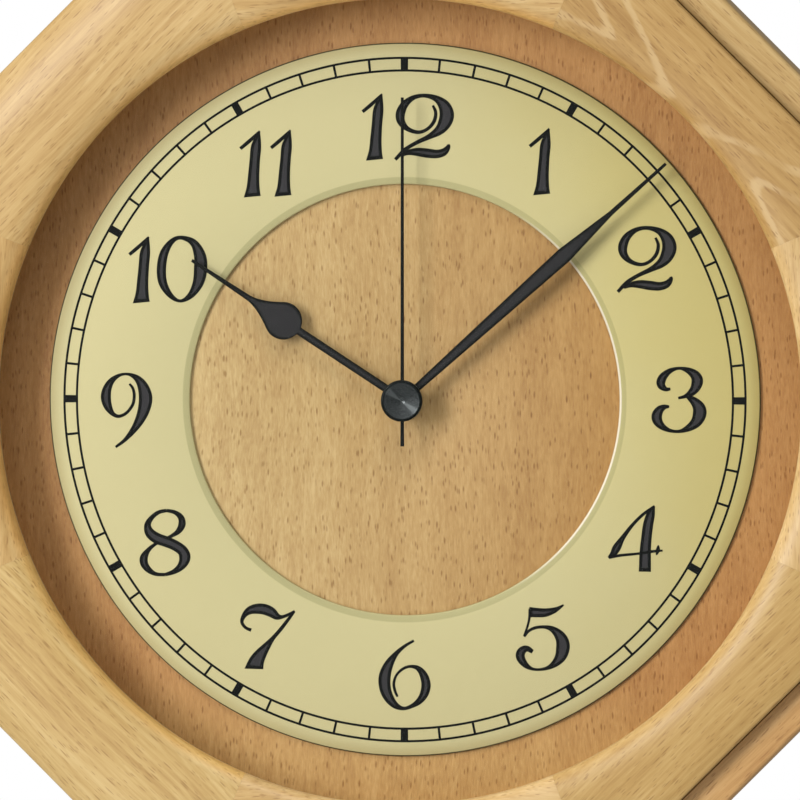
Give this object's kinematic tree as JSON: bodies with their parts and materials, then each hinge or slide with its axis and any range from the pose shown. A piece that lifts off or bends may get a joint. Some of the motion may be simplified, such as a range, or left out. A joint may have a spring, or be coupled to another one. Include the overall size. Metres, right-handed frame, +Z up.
{
  "type": "wall clock",
  "caption": "Octagonal wooden wall clock: hinged glazed front, champagne chapter ring on a veneered dial board, hands and radio-controlled quartz movement.",
  "frame": {"origin": "hanging point: the top of the hanger's nail slot, on the wall plane, 167 mm above the dial centre", "axes": "+Z up, -Y out of the dial towards the viewer, +Y into the wall, +X to the viewer's right"},
  "size_m": [0.3651, 0.055, 0.36],
  "materials": {
    "case_beech": "satin clear lacquer on steamed beech",
    "door_beech": "satin clear lacquer on steamed beech",
    "dial_veneer": "satin clear lacquer on beech veneer",
    "ring_metal": "champagne anodised, satin",
    "hand_black": "black, satin",
    "cap_steel": "turned, blackened",
    "clear_glass": "polished flat glass",
    "hinge_brass": "satin",
    "screw_steel": "zinc plated",
    "plate_steel": "zinc plated",
    "magnet_ferrite": "sintered, matt",
    "fibre_board": "matt pressed fibre",
    "bumper_rubber": "matt",
    "housing_black": "fine moulded texture",
    "wheel_white": "moulded acetal",
    "circuit_green": "solder mask",
    "copper_winding": "enamelled copper wire",
    "cell_jacket": "plain printed jacket, no lettering"
  },
  "bodies": {
    "case": {"case_stave_right": "case_beech", "case_stave_upper_right": "case_beech", "case_stave_top": "case_beech", "case_stave_upper_left": "case_beech", "case_stave_left": "case_beech", "case_stave_lower_left": "case_beech", "case_stave_bottom": "case_beech", "case_stave_lower_right": "case_beech", "catch_magnet": "magnet_ferrite", "hanger_plate": "plate_steel", "hanger_screw_left": "screw_steel", "hanger_screw_right": "screw_steel", "board_retaining_ring": "fibre_board", "wall_bumper_left": "bumper_rubber", "wall_bumper_right": "bumper_rubber", "dial_board": "dial_veneer", "chapter_ring": "ring_metal", "hinge_case_leaf": "hinge_brass", "hinge_pin": "hinge_brass", "hinge_case_screw_lower": "screw_steel", "hinge_case_screw_upper": "screw_steel", "movement_rear_shell": "housing_black", "movement_front_shell": "housing_black", "circuit_board": "circuit_green", "radio_antenna": "copper_winding", "battery": "cell_jacket", "battery_spring_contact": "plate_steel", "battery_plus_contact": "plate_steel", "bush_washer": "hinge_brass", "bush_nut": "hinge_brass", "minute_motor_coil": "copper_winding", "second_motor_coil": "copper_winding"},
    "door": {"door_stave_right": "door_beech", "door_stave_upper_right": "door_beech", "door_stave_top": "door_beech", "door_stave_upper_left": "door_beech", "door_stave_left": "door_beech", "door_stave_lower_left": "door_beech", "door_stave_bottom": "door_beech", "door_stave_lower_right": "door_beech", "glass_pane": "clear_glass", "glass_bead": "fibre_board", "catch_strike": "plate_steel", "hinge_door_leaf": "hinge_brass", "hinge_door_screw_lower": "screw_steel", "hinge_door_screw_upper": "screw_steel"},
    "hour_works": {"hour_hand": "hand_black", "hour_wheel": "wheel_white"},
    "minute_works": {"minute_hand": "hand_black", "minute_wheel": "wheel_white"},
    "second_works": {"second_hand": "hand_black", "hub_cap": "cap_steel", "second_wheel": "wheel_white"},
    "motion_works": {"motion_wheel": "wheel_white"},
    "minute_third": {"minute_third_wheel": "wheel_white"},
    "second_third": {"second_third_wheel": "wheel_white"},
    "minute_motor": {"minute_rotor": "magnet_ferrite"},
    "second_motor": {"second_rotor": "magnet_ferrite"},
    "set_button": {"button_set": "wheel_white"},
    "receive_button": {"button_receive": "wheel_white"}
  },
  "joints": [
    {"name": "door_hinge", "type": "hinge", "parent": "case", "child": "door", "pos_m": [-0.1827, -0.0403, -0.167], "axis": [0, 0, -1], "range_deg": [0, 105]},
    {"name": "minute_arbor", "type": "hinge", "parent": "case", "child": "minute_works", "pos_m": [0, -0.0336, -0.167], "axis": [0, 1, 0], "continuous": true},
    {"name": "hour_arbor", "type": "hinge", "parent": "case", "child": "hour_works", "pos_m": [0, -0.031, -0.167], "axis": [0, 1, 0], "continuous": true},
    {"name": "motion_arbor", "type": "hinge", "parent": "case", "child": "motion_works", "pos_m": [-0.00866, -0.0155, -0.162], "axis": [0, 1, 0], "continuous": true},
    {"name": "minute_third_arbor", "type": "hinge", "parent": "case", "child": "minute_third", "pos_m": [0.00883, -0.0125, -0.1619], "axis": [0, 1, 0], "continuous": true},
    {"name": "minute_rotor_arbor", "type": "hinge", "parent": "case", "child": "minute_motor", "pos_m": [0.01356, -0.0075, -0.15372], "axis": [0, 1, 0], "continuous": true},
    {"name": "second_arbor", "type": "hinge", "parent": "case", "child": "second_works", "pos_m": [0, -0.036, -0.167], "axis": [0, 1, 0], "continuous": true},
    {"name": "second_third_arbor", "type": "hinge", "parent": "case", "child": "second_third", "pos_m": [-0.00359, -0.0105, -0.15713], "axis": [0, 1, 0], "continuous": true},
    {"name": "second_rotor_arbor", "type": "hinge", "parent": "case", "child": "second_motor", "pos_m": [-0.00911, -0.0075, -0.15251], "axis": [0, 1, 0], "continuous": true},
    {"name": "set_button_press", "type": "slide", "parent": "case", "child": "set_button", "axis": [0, -1, 0], "range_m": [0, 0.0008], "stiffness_N_per_m": 400},
    {"name": "receive_button_press", "type": "slide", "parent": "case", "child": "receive_button", "axis": [0, -1, 0], "range_m": [0, 0.0008], "stiffness_N_per_m": 400}
  ],
  "couplings": [
    {"joint": "hour_arbor", "follows": "minute_arbor", "ratio": 0.083333},
    {"joint": "motion_arbor", "follows": "minute_arbor", "ratio": -0.33333},
    {"joint": "minute_third_arbor", "follows": "minute_arbor", "ratio": -7.5},
    {"joint": "minute_rotor_arbor", "follows": "minute_arbor", "ratio": 60},
    {"joint": "second_third_arbor", "follows": "second_arbor", "ratio": -6},
    {"joint": "second_rotor_arbor", "follows": "second_arbor", "ratio": 30}
  ]
}
